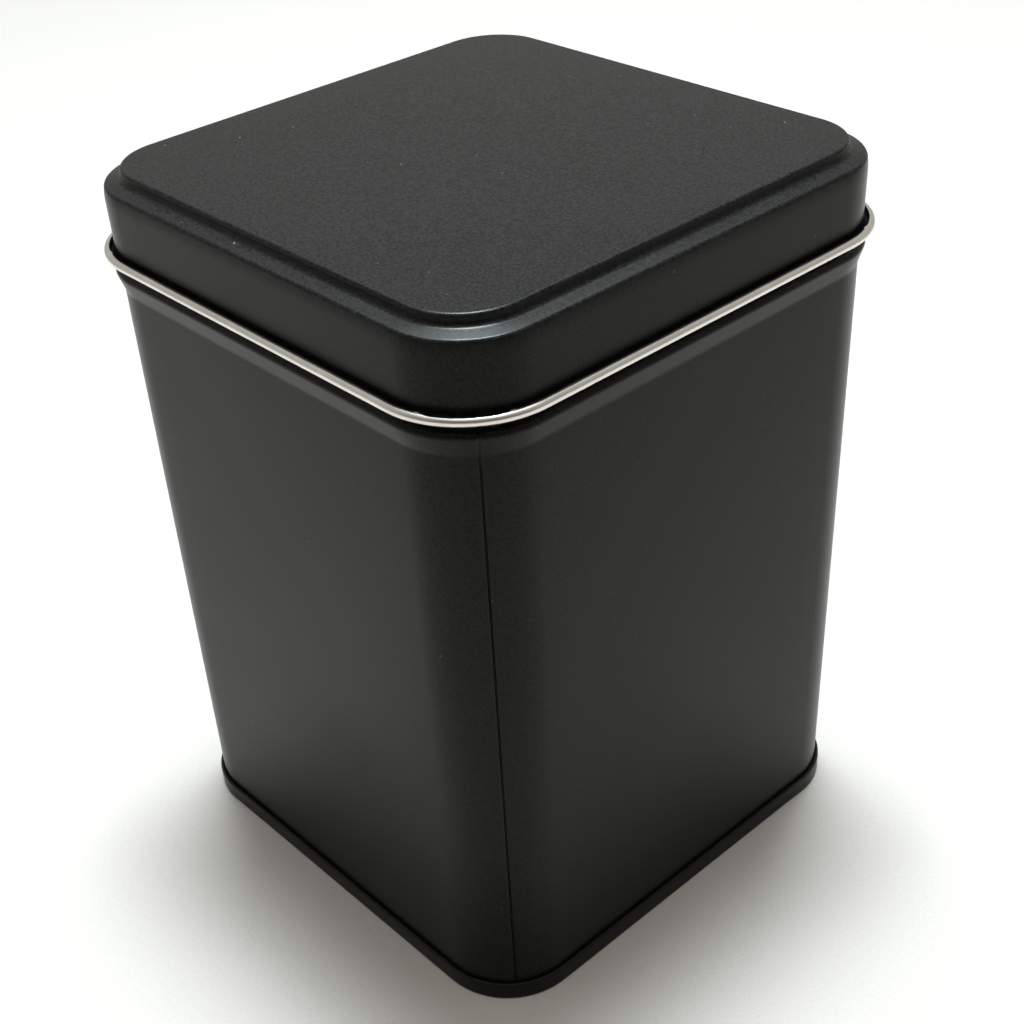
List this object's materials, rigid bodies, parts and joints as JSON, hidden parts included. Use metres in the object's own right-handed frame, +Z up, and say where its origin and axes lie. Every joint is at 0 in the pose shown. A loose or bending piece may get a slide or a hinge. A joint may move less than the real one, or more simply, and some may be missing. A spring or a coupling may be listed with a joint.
{
  "type": "candle tin",
  "caption": "Tall square tinplate tin with rounded corners, a beaded neck, a folded side seam, a double-seamed bottom and a slip-on lid with a curled edge and a raised panel.",
  "frame": {"origin": "middle of the tin's footprint, on the plane it stands on", "axes": "+Z up through the lid; +X and +Y square to the walls; the side seam is in the corner between +X and -Y"},
  "size_m": [0.089, 0.089, 0.1192],
  "materials": {
    "lid_lacquer": "matt black lacquer outside, bare tinplate inside and on the curled edge",
    "body_lacquer": "matt black lacquer outside, bare tinplate inside",
    "bottom_lacquer": "matt black lacquer outside, bare tinplate inside"
  },
  "bodies": {
    "tin": {"body": "body_lacquer", "bottom_end": "bottom_lacquer"},
    "lid": {"lid": "lid_lacquer"}
  },
  "joints": [
    {"name": "lid_lift", "type": "slide", "parent": "tin", "child": "lid", "axis": [0, 0, 1], "range_m": [0, 0.06]}
  ]
}
